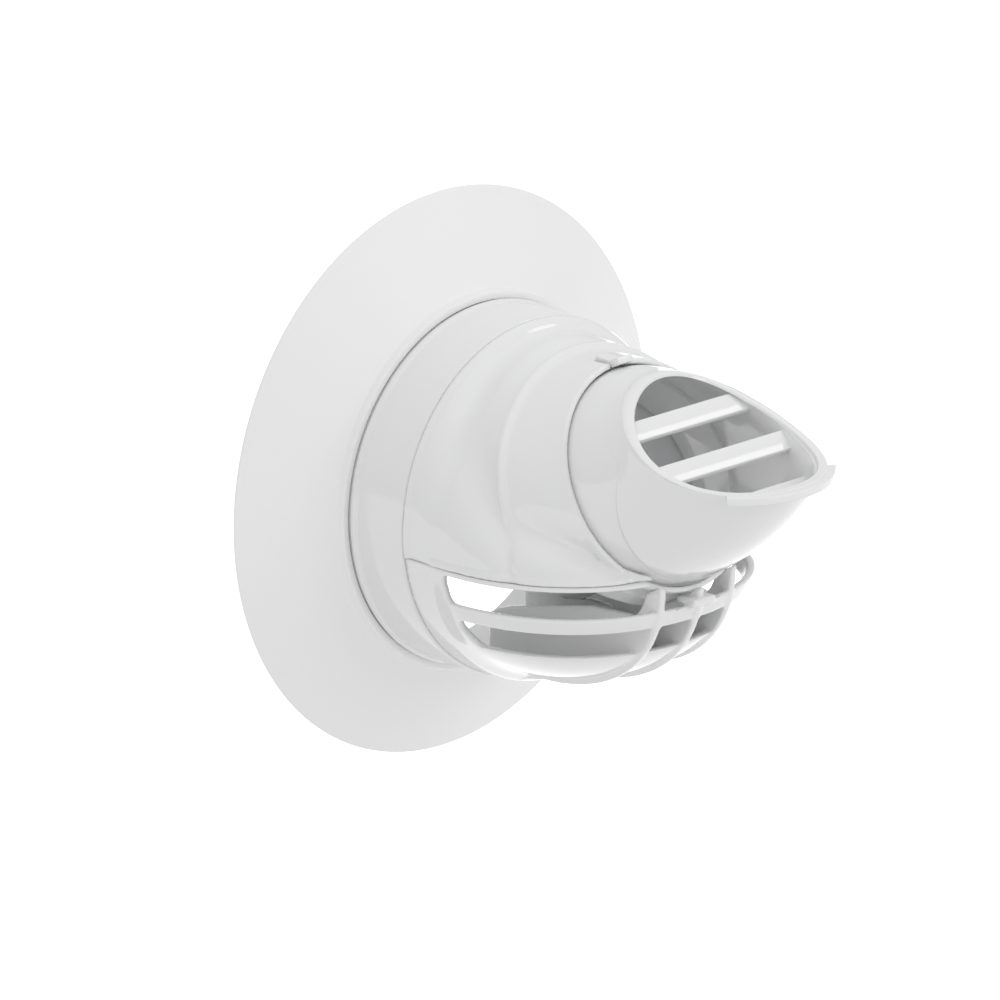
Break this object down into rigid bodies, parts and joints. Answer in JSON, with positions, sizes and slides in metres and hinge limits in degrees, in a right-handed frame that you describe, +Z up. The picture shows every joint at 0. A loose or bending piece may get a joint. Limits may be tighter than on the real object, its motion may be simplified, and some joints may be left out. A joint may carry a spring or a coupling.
{
  "type": "wall flue terminal",
  "caption": "White plastic wall terminal of a concentric boiler flue, with a rosette, an air intake grille under a hood, and a swivelling outlet mouth with slats.",
  "frame": {"origin": "on the duct axis in the plane of the wall", "axes": "+Y along the duct into the wall, -Y out of the wall, +Z up, mirror-symmetric about X = 0"},
  "size_m": [0.1644, 0.1408, 0.1644],
  "materials": {
    "shell": "gloss",
    "rosette": "satin",
    "flue": "satin",
    "rubber": "matte"
  },
  "bodies": {
    "terminal": {"duct_collar": "shell", "hood_shell": "shell", "grille_basket": "shell", "flue_bend": "flue", "outlet_seal": "rubber", "outlet_latch": "shell"},
    "rosette": {"wall_rosette": "rosette"},
    "mouth": {"outlet_mouthpiece": "shell"}
  },
  "joints": [
    {"name": "rosette_slide", "type": "slide", "parent": "terminal", "child": "rosette", "axis": [0, 1, 0], "range_m": [0, 0.012]},
    {"name": "outlet_swivel", "type": "hinge", "parent": "terminal", "child": "mouth", "pos_m": [0, -0.0842, 0.0169], "axis": [0, -0.8886, 0.4587], "range_deg": [-75, 75]}
  ]
}
